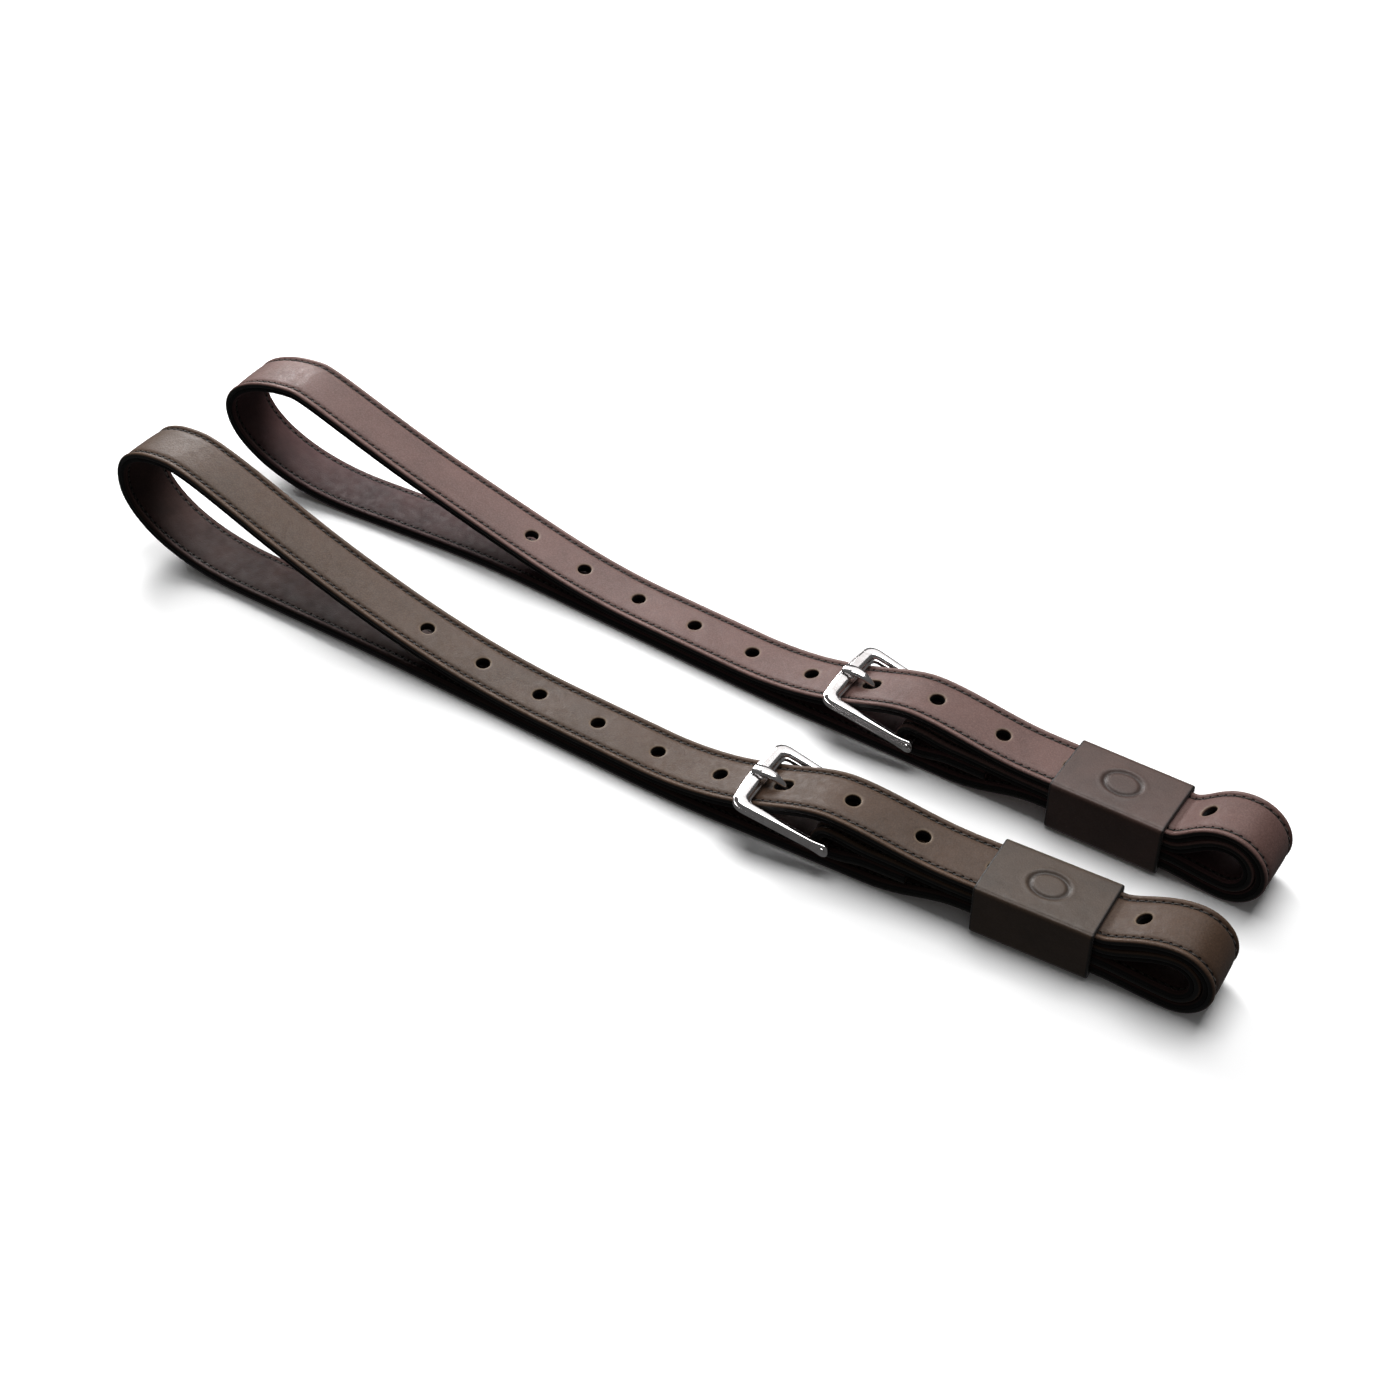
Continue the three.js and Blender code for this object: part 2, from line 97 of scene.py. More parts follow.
def centre_line(loop, bight):
    """Chape end, round the buckle bar, to the right bight, back to the left loop, up and over
    to the buckle, round the right bight again and into the keeper."""
    low = CHAPE_Z - PLY
    bx, bz, inner = bight["x"], bight["z"], bight["r"]
    outer = inner + PLY
    left, end, waist = -loop["reach"], loop["floor_end"], loop["waist"]
    cx, crest, land = loop["crest_x"], loop["crest"], loop["landing"]
    s0, s1 = STACK
    legs = [
        [[CHAPE_END, low], [CHAPE_JOIN, low]],
        bezier([CHAPE_JOIN, low], [181, low], [179, BAR_Z - WRAP_R], [BAR_X, BAR_Z - WRAP_R]),
        half_turn(BAR_X, BAR_Z, WRAP_R, 270),
        bezier([BAR_X, BAR_Z + WRAP_R], [179, BAR_Z + WRAP_R], [181, CHAPE_Z],
               [CHAPE_JOIN, CHAPE_Z]),
        bezier([CHAPE_JOIN, CHAPE_Z], [200, CHAPE_Z], [206, L2], [s0, L2]),
        bezier([s1, L2], [s1 + 7.5, L2], [bx - 8.5, bz + inner], [bx, bz + inner]),
        half_turn(bx, bz, inner, 90),
        bezier([bx, bz - inner], [bx - 7, bz - inner], [s1 + 7, L3], [s1, L3]),
        bezier([s0 + 4, L3], [208, L3], [200, FLOOR_RUN], [186, FLOOR_RUN]),
        [[end, FLOOR_RUN]],
        bezier([end, FLOOR_RUN], [end - 34, FLOOR_RUN], [left, waist - 14.5], [left, waist]),
        bezier([left, waist], [left, waist + 12], [cx - 16.5, crest], [cx, crest]),
        bezier([cx, crest], [cx + loop["crest_pull"], crest],
               [land - loop["run_pull"], UPPER_RUN], [land, UPPER_RUN], 120),
        bezier([RIGHT_BEND[0], UPPER_RUN], [142, UPPER_RUN], [156, ARCH], [BAR_X, ARCH]),
        bezier([BAR_X, ARCH], [187, ARCH], [198, L1], [s0, L1]),
        bezier([s1, L1], [s1 + 5.5, L1], [bx - 10.5, bz + outer], [bx, bz + outer]),
        half_turn(bx, bz, outer, 90),
        bezier([bx, bz - outer], [bx - 7, bz - outer], [s1 + 7, L4], [s1, L4]),
        [[TIP_END, L4]],
    ]
    return np.vstack([np.array(leg, float) for leg in legs])


class Strap:
    """One strap's sampled path, and how it lies on the table."""

    def __init__(self, tag):
        self.tag = tag
        self.lay = STRAPS[tag]["lay"]
        pts = centre_line(STRAPS[tag]["loop"], STRAPS[tag]["bight"])
        run = np.concatenate([[0], np.cumsum(np.linalg.norm(np.diff(pts, axis=0), axis=1))])
        self.s = np.arange(0, run[-1], FINE)
        self.x = np.interp(self.s, run, pts[:, 0])
        self.z = np.interp(self.s, run, pts[:, 1])
        tx, tz = np.gradient(self.x, self.s), np.gradient(self.z, self.s)
        size = np.hypot(tx, tz)
        self.nx, self.nz = -tz / size, tx / size
        turn = np.unwrap(np.arctan2(tz, tx))
        smooth = np.convolve(np.gradient(turn, self.s), np.ones(9) / 9, "same")
        self.bend = np.abs(smooth)
        self.length = float(self.s[-1])
        up = np.where((self.x[:-1] < 0) & (self.x[1:] >= 0) & (self.z[1:] > 3))[0][0]
        self.first_hole = float(self.s[up] - self.x[up])
        self.grid = np.arange(-170.0, 331.0)
        h = self.heading(self.grid[:-1] + 0.5)
        self.px = np.concatenate([[0], np.cumsum(np.cos(h))])
        self.py = np.concatenate([[0], np.cumsum(np.sin(h))])
        self.px -= np.interp(0, self.grid, self.px)
        self.py -= np.interp(0, self.grid, self.py)

    def heading(self, x):
        def part(span, turn):
            return turn * np.clip((x - span[0]) / (span[1] - span[0]), 0, 1)
        lay = self.lay
        return np.radians(lay["yaw"] + lay["left"] + part(LEFT_BEND, -lay["left"])
                          + part(RIGHT_BEND, lay["right"]))

    def place(self, x, y, z):
        """A point of the straight frame, laid on the table, in metres."""
        x, y, z = (np.asarray(v, float) for v in (x, y, z))
        h = self.heading(x)
        px = self.lay["x"] + np.interp(x, self.grid, self.px) - y * np.sin(h)
        py = self.lay["y"] + np.interp(x, self.grid, self.py) + y * np.cos(h)
        return np.stack([px, py, z + 0 * px], -1) * MM

    def world(self, s, y, n):
        """The point s along the strap, y across it and n out from its centre line."""
        s, y, n = (np.asarray(v, float) for v in (s, y, n))
        x = np.interp(s, self.s, self.x) + n * np.interp(s, self.s, self.nx)
        z = np.interp(s, self.s, self.z) + n * np.interp(s, self.s, self.nz)
        return self.place(x, y, z)

    def at_x(self, x, low, high):
        """The path length where the run between heights low and high crosses x."""
        hit = (self.x[:-1] - x) * (self.x[1:] - x) <= 0
        hit &= (self.z[1:] > low) & (self.z[1:] < high)
        return float(self.s[np.where(hit)[0][0]])


# ---------- meshes ----------

def finish_mesh(name, verts, faces, material, sharp=50, data=None):
    mesh = bpy.data.meshes.new(name)
    mesh.from_pydata([tuple(v) for v in verts], [], [tuple(f) for f in faces])
    for key, values in (data or {}).items():
        attribute = mesh.attributes.new(key, "FLOAT", "POINT")
        attribute.data.foreach_set("value", np.asarray(values, np.float32))
    bm = bmesh.new()
    bm.from_mesh(mesh)
    bmesh.ops.recalc_face_normals(bm, faces=bm.faces)
    limit = math.radians(sharp)
    for face in bm.faces:
        face.smooth = True
    for edge in bm.edges:
        edge.smooth = not (len(edge.link_faces) == 2 and edge.calc_face_angle(0) > limit)
    bm.to_mesh(mesh)
    bm.free()
    mesh.materials.append(material)
    obj = bpy.data.objects.new(name, mesh)
    bpy.context.scene.collection.objects.link(obj)
    return obj


def hole_list(strap):
    """Each cut through the strap: middle, half length of its straight part, radius, margin."""
    cuts = [(strap.first_hole + i * PITCH, 0.9 if i == TONGUE_HOLE else 0.0, HOLE_R, 1.6)
            for i in range(HOLES)]
    start = strap.at_x(SLOT_END, 4, BAR_Z)
    end = strap.at_x(SLOT_END, BAR_Z, 18)
    cuts.append(((start + end) / 2, (end - start) / 2 - SLOT_HALF, SLOT_HALF, 1.6))
    return cuts


def station_list(strap, cuts):
    """Closer together where the strap bends, with rows of their own at each cut."""
    s, out = 0.0, []
    while s < strap.length:
        out.append(s)
        bend = float(np.interp(s, strap.s, strap.bend))
        s += min(3.5, max(0.4, math.radians(5) / max(bend, 1e-6)))
    out = np.array(out + [strap.length])
    for mid, half, r, margin in cuts:
        reach = half + r + margin
        if half > 5:
            own = out[np.abs(out - mid) < reach - 0.5]
        else:
            out, own = out[np.abs(out - mid) > reach + 0.6], np.array([-3.0, -1.5, 0, 1.5, 3.0])
            own = mid + own * reach / 4.6
        out = out[np.abs(out - mid) > reach + 0.3]
        out = np.concatenate([out, own, [mid - reach, mid + reach]])
    return np.unique(out)


CORE_Y = [-4.6, -3.0, -1.5, 0.0, 1.5, 3.0, 4.6]  # rows of points that every cut fits between


def full_profile(side):
    """Both halves of a profile whose right half starts beyond the shared middle rows."""
    right = [(y, n) for y, n in side if y > 4.7]
    middle_n = np.interp(np.abs(CORE_Y), [y for y, _ in side], [n for _, n in side])
    left = [(-y, n) for y, n in reversed(right)]
    return np.array(left + list(zip(CORE_Y, middle_n)) + right)


RIM = [(1.1, 0.0), (0.5, 0.05), (0.18, 0.14), (0.04, 0.3), (0.0, 0.5)]  # out from the hole, down
RIM_TINT = {0.05: 0.3, 0.14: 1.0, 0.3: 0.7, 0.5: 0.1}  # how pale each step of the rim is painted: bare leather at the cut, with a painted highlight on the rounded lip


def nearest(stations, value):
    return int(np.argmin(np.abs(stations - value)))


def cut_walks(st, cuts, core):
    """The grid cells that the cuts remove, and for each cut the walk round its patch."""
    gone, walks = set(), []
    for mid, half, r, margin in cuts:
        i0 = nearest(st, mid - half - r - margin)
        i1 = nearest(st, mid + half + r + margin)
        for k in core:
            lo = min(k)
            gone.update((i, j) for i in range(i0, i1) for j in range(lo, lo + 6))
        walk = [(i, 0) for i in range(i0, i1)] + [(i1, j) for j in range(6)]
        walk += [(i, 6) for i in range(i1, i0, -1)] + [(i0, j) for j in range(6, 0, -1)]
        walks.append((mid, half, r, walk))
    return gone, walks


def grid_faces(rows, count, gone):
    return [(i * count + j, i * count + (j + 1) % count,
             (i + 1) * count + (j + 1) % count, (i + 1) * count + j)
            for i in range(rows - 1) for j in range(count) if (i, j) not in gone]


def cut_rings(points, edge, cut, profile, sign, rim):
    """Adds a cut's rings inside its edge, stepping over the rounded rim, and returns them."""
    mid, half, r = cut
    chain = [edge]
    for out, down in (RIM if rim else [(0.0, 0.0)]):
        ring = []
        for v in edge:
            s, y = points[v][:2]
            base = min(max(s, mid - half), mid + half)
            d = np.array([s - base, y])
            d = d / np.linalg.norm(d)
            y = d[1] * (r + out)
            height = float(np.interp(y, profile[:, 0], profile[:, 1])) + sign * down
            ring.append(len(points))
            points.append((base + d[0] * (r + out), y, height,
                           RIM_TINT.get(down, 0.0) if rim else 0.0))
        chain.append(ring)
    return chain


def wall_faces(strip):
    """Quads between each closed ring and the next."""
    return [(one[j], one[(j + 1) % len(one)], two[(j + 1) % len(one)], two[j])
            for one, two in zip(strip, strip[1:]) for j in range(len(one))]


def layer(strap, name, top, bottom, material, rim_top, rim_bottom):
    """One full-length ply, with every cut made through it. top and bottom are half profiles
    of (y, n) points; a rim flag rounds the cut's edge on that side."""
    top, bottom = full_profile(top), full_profile(bottom)
    cuts = hole_list(strap)
    st = station_list(strap, cuts)
    section = np.vstack([top, bottom[::-1]])
    count = len(section)
    points = [(s, y, n, 0.0) for s in st for y, n in section]
    starts = nearest(top[:, 0], CORE_Y[0]), nearest(bottom[::-1][:, 0], CORE_Y[-1])
    core = [starts[0] + np.arange(7), len(top) + starts[1] + 6 - np.arange(7)]
    gone, walks = cut_walks(st, cuts, core)
    faces = grid_faces(len(st), count, gone)
    for mid, half, r, walk in walks:
        rings = [cut_rings(points, [i * count + int(core[k][j]) for i, j in walk],
                           (mid, half, r), profile, sign, rim)
                 for k, (profile, sign, rim) in enumerate(((top, -1, rim_top),
                                                           (bottom, 1, rim_bottom)))]
        faces += wall_faces(rings[0] + rings[1][::-1])
    last = (len(st) - 1) * count
    faces += [tuple(range(count)), tuple(range(last, last + count))]
    along, across, outward, lit = (np.array(v) for v in zip(*points))
    return finish_mesh(f"{name}_{strap.tag}", strap.world(along, across, outward), faces,
                       material, data={"along": along * MM, "across": across * MM,
                                       "outward": outward * MM, "rim": lit})


FACE_TOP = [(0, 2.04), (3, 2.03), (4.6, 2.0), (6.0, 1.96), (6.8, 1.9), (7.3, 1.8), (7.7, 1.62),
            (8.0, 1.46), (8.4, 1.4), (8.8, 1.46), (9.05, 1.64), (9.3, 1.84), (9.6, 1.98),
            (9.95, 2.04), (10.3, 1.99), (10.6, 1.84), (10.82, 1.6), (10.95, 1.25), (11.0, 0.85),
            (10.98, 0.45), (10.9, 0.16), (10.78, 0.03)]
FACE_BASE = [(0, 0.95), (4.6, 0.95), (6.6, 0.95), (6.75, 0.8), (6.8, 0.03), (10.5, 0.03)]
LINING_TOP = [(0, -0.03), (4.6, -0.03), (8, -0.03), (10.5, -0.03)]
LINING_BASE = [(0, -2.0), (4.6, -1.99), (6.2, -1.96), (7.2, -1.86), (7.8, -1.7), (8.4, -1.6),
               (9.0, -1.7), (9.4, -1.84), (9.8, -1.92), (10.2, -1.88), (10.55, -1.7),
               (10.8, -1.4), (10.92, -1.0), (10.93, -0.5), (10.86, -0.18), (10.75, -0.04)]
WEB_TOP = [(0, 0.86), (4.6, 0.86), (6.3, 0.86)]
WEB_BASE = [(0, 0.08), (4.6, 0.08), (6.3, 0.08)]


# ---------- stitches ----------

STITCH = dict(pitch=2.9, length=2.3, wide=0.3, high=0.27, slant=0.18, first=3.0)


def capsule():
    """A stitch of unit size: rounded ends that dive into the leather."""
    rings = 7
    verts, faces = [], []
    for i in range(rings):
        t = -1 + 2 * i / (rings - 1)
        girth = max(0.16, 1 - abs(t) ** 3.2)
        drop = -0.9 * abs(t) ** 3
        for j in range(6):
            a = 2 * math.pi * j / 6
            verts.append((t, girth * math.cos(a), girth * math.sin(a) + drop))
    for i in range(rings - 1):
        for j in range(6):
            a, b = i * 6 + j, i * 6 + (j + 1) % 6
            faces.append((a, b, b + 6, a + 6))
    faces += [tuple(range(6)), tuple(range((rings - 1) * 6, rings * 6))]
    return np.array(verts), faces


def stitches(strap, name, rows, material):
    """rows are (starts along the path, y, n of the thread's middle, +1 face or -1 lining)."""
    shape, base_faces = capsule()
    rng = np.random.default_rng(11)
    verts, faces, along = [], [], []
    for starts, y, n, side in rows:
        for s in starts:
            slant = STITCH["slant"] + rng.normal(0, 0.03)
            half = STITCH["length"] / 2 * rng.uniform(0.95, 1.05)
            du = shape[:, 0] * half
            dy = shape[:, 1] * STITCH["wide"] + du * slant
            dn = side * shape[:, 2] * STITCH["high"]
            at = strap.world(s + du, y + dy + rng.normal(0, 0.03), n + dn)
            base = len(verts) * len(shape)
            verts.append(at)
            along.append(du * MM)
            faces += [tuple(base + k for k in f) for f in base_faces]
    return finish_mesh(name, np.vstack(verts), faces, material,
                       data={"along": np.concatenate(along)})


def edge_rows(strap, side):
    """Both faces of one edge seam, leaving out what lies beyond the strap's two ends."""
    starts = np.arange(STITCH["first"], strap.length - 3.0, STITCH["pitch"])
    y = side * 8.4
    return [(starts, y, 1.52, 1), (starts + STITCH["pitch"] / 2, y, -1.7, -1)]


def chape_rows(strap, side):
    """The block of stitches that closes the turned-back end on the body of the strap."""
    upper = strap.at_x(189.0, 12, 15)
    lower = strap.at_x(198.5, 6, 10)
    steps = np.arange(4) * STITCH["pitch"]
    y = side * 4.5
    return [(upper + steps, y, 2.0, 1), (lower + steps, y, 2.0, 1)]


# ---------- buckle ----------

TILT = 12.5
REACH, FRONT, BOW = 34.0, 5.4, 1.6
INNER, OUTER, ARM_END = 12.0, 16.9, 14.9
CORNER = 5.0
HALF_THICK = 1.6
EYE_R = 2.3
REST = (2.6, 0.9)
# Section of the frame: -1 inner side to 1 outer side, and height from -1 to 1. A ledge runs
# round the inside and a small rib with a groove each side of it round the outside.
FRAME_SECTION = [
    (-0.90, -0.98), (-0.99, -0.85), (-1.0, -0.4), (-1.0, -0.04), (-0.95, 0.06), (-0.80, 0.10),
    (-0.75, 0.16), (-0.70, 0.50), (-0.60, 0.76), (-0.42, 0.92), (-0.15, 0.99), (0.15, 1.0),
    (0.42, 0.94), (0.64, 0.78), (0.77, 0.54), (0.80, 0.34), (0.82, 0.28), (0.93, 0.25),
    (0.995, 0.12), (1.0, -0.02), (0.97, -0.14), (0.90, -0.20), (0.88, -0.30), (0.90, -0.42),
    (0.96, -0.50), (0.97, -0.70), (0.90, -0.92), (0.75, -0.99), (0.0, -1.0),
]


def buckle_point(strap, u, v, n):
    """u from the hinge towards the front bar, v across and n above the buckle's own plane."""
    t = math.radians(TILT)
    u, v, n = (np.asarray(k, float) for k in (u, v, n))
    x = BAR_X - u * math.cos(t) + n * math.sin(t)
    z = BAR_Z + u * math.sin(t) + n * math.cos(t)
    return strap.place(x, v, z)


def quadratic(a, b, c, n):
    t = np.linspace(0, 1, n + 1)[:, None]
    a, b, c = (np.array(p, float) for p in (a, b, c))
    return a * (1 - t) ** 2 + 2 * b * t * (1 - t) + c * t * t


def frame_rails():
    """Matched points down the outer and inner edge of the frame, eye to eye."""
    arm = np.linspace(0, 1, 26)[:, None]
    out0, out1 = np.array([[0, ARM_END]]), np.array([[REACH - CORNER, OUTER]])
    in0, in1 = np.array([[0, INNER]]), np.array([[REACH - FRONT - 2, INNER]])
    bow = BOW
    outer = [out0 + (out1 - out0) * arm,
             quadratic([REACH - CORNER, OUTER], [REACH, OUTER], [REACH, OUTER - CORNER], 14)[1:]]
    inner = [in0 + (in1 - in0) * arm,
             quadratic([REACH - FRONT - 2, INNER], [REACH - FRONT, INNER],
                       [REACH - FRONT, INNER - 2], 14)[1:]]
    t = np.linspace(0, 1, 21)[1:]
    v_out, v_in = (OUTER - CORNER) * (1 - t), (INNER - 2) * (1 - t)
    bulge = bow / 2 * (1 - (v_out / (OUTER - CORNER)) ** 2)
    outer.append(np.column_stack([REACH + bulge, v_out]))
    inner.append(np.column_stack([np.full_like(t, REACH - FRONT), v_in]))
    outer, inner = np.vstack(outer), np.vstack(inner)

    def both(rail):
        return np.vstack([rail, rail[-2::-1] * [1, -1]])
    return both(outer), both(inner)


def buckle_frame(strap, material):
    outer, inner = frame_rails()
    ends = EYE_R * np.sin(np.linspace(-math.pi / 2, 0, 9)[:-1])
    rows = [(np.array([u, ARM_END]), np.array([u, INNER])) for u in ends]
    rows += list(zip(outer, inner))
    rows += [(np.array([u, -ARM_END]), np.array([u, -INNER])) for u in ends[::-1]]
    section = np.array(FRAME_SECTION)
    verts = []
    for out, inn in rows:
        u = out[0]
        if u < 0:
            half = math.sqrt(max(EYE_R**2 - u * u, 0.15))
        else:
            half = HALF_THICK + (EYE_R - HALF_THICK) * max(0, 1 - (u / 5.5)) ** 1.6
        side = (1 + section[:, :1]) / 2
        flat = inn + (out - inn) * side
        n = section[:, 1] * half
        rest, depth = REST
        trough = depth * np.exp(-((flat[:, 1] / (rest * 0.72)) ** 4))
        top = (section[:, 1] > 0.3) & (abs(out[1]) < 6)
        n = np.where(top, n - trough * (section[:, 1] - 0.3) / 0.7, n)
        verts.append(buckle_point(strap, flat[:, 0], flat[:, 1], n))
    count = len(section)
    faces = []
    for i in range(len(rows) - 1):
        for j in range(count):
            a, b = i * count + j, i * count + (j + 1) % count
            faces.append((a, b, b + count, a + count))
    last = (len(rows) - 1) * count
    faces += [tuple(range(count)), tuple(range(last, last + count))]
    obj = finish_mesh(f"buckle_frame_shaped_{strap.tag}", np.vstack(verts), faces, material, 180)
    soften(obj, 1)
    return obj


def soften(obj, levels):
    sub = obj.modifiers.new("round", "SUBSURF")
    sub.levels = sub.render_levels = levels


def lathe_bar(strap, name, profile, material, sides=32):
    """A round piece on the hinge line, from (distance across, radius) points."""
    verts, faces = [], []
    for v, r in profile:
        a = 2 * np.pi * np.arange(sides) / sides
        verts.append(strap.place(BAR_X + r * np.cos(a), np.full(sides, v), BAR_Z + r * np.sin(a)))
    for i in range(len(profile) - 1):
        for j in range(sides):
            a, b = i * sides + j, i * sides + (j + 1) % sides
            faces.append((a, b, b + sides, a + sides))
    last = (len(profile) - 1) * sides
    faces += [tuple(range(sides)), tuple(range(last, last + sides))]
    return finish_mesh(name, np.vstack(verts), faces, material, 60)


PIN_HALF = 15.2


def pin(strap, material):
    dome = [(PIN_HALF, 0.2), (PIN_HALF - 0.03, 0.65), (PIN_HALF - 0.12, 0.98),
            (PIN_HALF - 0.26, 1.2), (PIN_HALF - 0.5, 1.32), (PIN_HALF - 1.0, 1.36),
            (11.5, 1.37)]
    profile = [(-v, r) for v, r in dome] + [(v, r) for v, r in reversed(dome)]
    return lathe_bar(strap, f"buckle_pin_{strap.tag}", profile, material)


TONGUE_LINE = [  # x, z, half width and half thickness, from the ring to the tip
    (169.4, 11.6, 1.9, 1.2), (163, 11.6, 1.8, 1.2), (157.4, 11.4, 1.4, 1.1),
    (153.9, 12.7, 1.1, 0.95), (151.9, 15.0, 0.9, 0.9), (150.1, 17.3, 1.0, 0.95),
    (147.0, 19.4, 1.6, 1.05), (143.4, 20.1, 2.2, 1.15), (139.4, 19.8, 2.3, 0.95),
]


def smooth_line(points, per=6):
    """A curve through the points, with the widths carried along it."""
    p = np.array(points, float)
    p = np.vstack([2 * p[0] - p[1], p, 2 * p[-1] - p[-2]])
    out = []
    for a, b, c, d in zip(p, p[1:], p[2:], p[3:]):
        for t in np.arange(per) / per:
            out.append(0.5 * (2 * b + (c - a) * t + (2 * a - 5 * b + 4 * c - d) * t * t
                              + (3 * b - a - 3 * c + d) * t**3))
    return np.array(out + [p[-2]])


def tongue(strap, material):
    line = smooth_line(TONGUE_LINE)
    tip = line[-1]
    along = line[-1][:2] - line[-2][:2]
    along = along / np.linalg.norm(along)
    for k in (0.35, 0.6, 0.75):  # rounds off the tip
        size = math.sqrt(1 - (k / 0.8) ** 2)
        line = np.vstack([line, [*(tip[:2] + along * k), tip[2] * size, tip[3] * size]])
    d = np.gradient(line[:, :2], axis=0)
    d /= np.linalg.norm(d, axis=1)[:, None]
    normal = np.column_stack([-d[:, 1], d[:, 0]])
    normal *= np.where(normal[:, 1:] + 0.3 * normal[:, :1] < 0, -1, 1)
    sides = 20
    a = 2 * np.pi * np.arange(sides) / sides
    flat_y = np.sign(np.cos(a)) * np.abs(np.cos(a)) ** 0.85
    keel = np.sign(np.sin(a)) * np.abs(np.sin(a)) ** 0.9
    verts, faces = [], []
    for (x, z, wide, thick), (nx, nz) in zip(line, normal):
        verts.append(strap.place(x + nx * thick * keel, wide * flat_y, z + nz * thick * keel))
    for i in range(len(line) - 1):
        for j in range(sides):
            p, q = i * sides + j, i * sides + (j + 1) % sides
            faces.append((p, q, q + sides, p + sides))
    last = (len(line) - 1) * sides
    faces += [tuple(range(sides)), tuple(range(last, last + sides))]
    base = len(line) * sides
    ring, ring_faces = tongue_eye(strap)
    verts.append(ring)
    faces += [tuple(base + k for k in f) for f in ring_faces]
    return finish_mesh(f"buckle_tongue_shaped_{strap.tag}", np.vstack(verts), faces, material, 55)


def tongue_eye(strap):
    """The ring that turns on the bar, with rounded rims."""
    inner, outer, half = BAR_R + 0.09, BAR_R + 1.5, 2.15
    section = [(-half, inner + 0.2), (-half, outer - 0.45), (-half + 0.15, outer - 0.12),
               (-half + 0.45, outer), (half - 0.45, outer), (half - 0.15, outer - 0.12),
               (half, outer - 0.45), (half, inner + 0.2), (half - 0.2, inner),
               (-half + 0.2, inner)]
    sides, verts, faces = 40, [], []
    for i in range(sides):
        a = 2 * math.pi * i / sides
        v = np.array(section)
        verts.append(strap.place(BAR_X + v[:, 1] * math.cos(a), v[:, 0],
                                 BAR_Z + v[:, 1] * math.sin(a)))
    count = len(section)
    for i in range(sides):
        for j in range(count):
            p, q = i * count + j, i * count + (j + 1) % count
            r = ((i + 1) % sides) * count
            faces.append((p, q, r + (j + 1) % count, r + j))
    return np.vstack(verts), faces


# ---------- keeper ----------

MARK = dict(long=6.8, short=5.6, line=1.25, depth=0.55)


def rounded_loop(half, low, high, radius, straight, arc):
    """Points round a rectangle with rounded corners; straight gives the rows on each side."""
    pts = []
    cy, z0, z1 = half - radius, low + radius, high - radius
    across = np.interp(straight, [-1, 1], [-cy, cy])
    corner = np.linspace(0, math.pi / 2, arc + 1)[1:]
    pts += [(y, low) for y in across]
    pts += [(cy + radius * math.sin(t), z0 - radius * math.cos(t)) for t in corner]
    pts += [(half, z) for z in np.linspace(z0, z1, 12)[1:]]
    pts += [(cy + radius * math.cos(t), z1 + radius * math.sin(t)) for t in corner]
    pts += [(y, high) for y in across[::-1][1:]]
    pts += [(-cy - radius * math.sin(t), z1 + radius * math.cos(t)) for t in corner]
    pts += [(-half, z) for z in np.linspace(z1, z0, 12)[1:]]
    pts += [(-cy - radius * math.cos(t), z0 - radius * math.sin(t)) for t in corner[:-1]]
    return np.array(pts)


def keeper_stations(x0, x1):
    """Where the sleeve is sampled along x, and how far its outside is rounded in at each."""
    xs = np.concatenate([[0.0, 0.05, 0.16, 0.34, 0.7], np.linspace(1.4, 11.2, 12),
                         np.linspace(11.45, 28.55, 69), np.linspace(28.8, 38.6, 12),
                         [39.3, 39.66, 39.84, 39.95, 40.0]]) + x0
    ease = np.interp(np.minimum(xs - x0, x1 - xs), [0, 0.05, 0.16, 0.34, 0.7],
                     [0.42, 0.27, 0.13, 0.04, 0])
    return xs, ease


def lid_shape(x, middle, y, half_width):
    """Rise of the keeper's lid at x with the pressed oval in it, and how hard it is pressed."""
    d = np.hypot((x - middle) / MARK["long"], y / MARK["short"])
    width = MARK["line"] / (0.5 * (MARK["long"] + MARK["short"]))
    press = MARK["depth"] * np.exp(-(((d - 0.9) / width) ** 2) * 2.2)
    swell = 0.12 * np.exp(-(((d - 1.16) / 0.13) ** 2))
    crown = 0.25 * (1 - (y / half_width) ** 2)
    return swell - press - 0.25 + crown.clip(0), press / MARK["depth"]


def keeper_rows(x0, x1, wall):
    """Rings of (x, y, z) along the outside and back along the inside, each with its press."""
    side, top = 11.3, L1 + THICK / 2 + 0.3
    straight = np.concatenate([np.linspace(-1, -0.68, 6), np.linspace(-0.66, 0.66, 61),
                               np.linspace(0.68, 1, 6)])
    outer = rounded_loop(side + wall, 0, top + wall, 2.2, straight, 8)
    inner = rounded_loop(side, wall, top, 0.5, straight, 8)
    gap = outer - inner
    unit = gap / np.linalg.norm(gap, axis=1)[:, None]
    rows, pressed = [], []
    for x, e in zip(*keeper_stations(x0, x1)):
        ring = outer - unit * e
        lid = ring[:, 1] > top + wall - 0.5
        rise, press = lid_shape(x, (x0 + x1) / 2, ring[:, 0], side)
        rows.append((np.full(len(ring), x), ring[:, 0], ring[:, 1] + np.where(lid, rise, 0)))
        pressed.append(np.where(lid, press, 0))
    for x in np.linspace(x1, x0, 30):
        rows.append((np.full(len(inner), x), inner[:, 0], inner[:, 1]))
        pressed.append(np.zeros(len(inner)))
    return rows, np.concatenate(pressed)


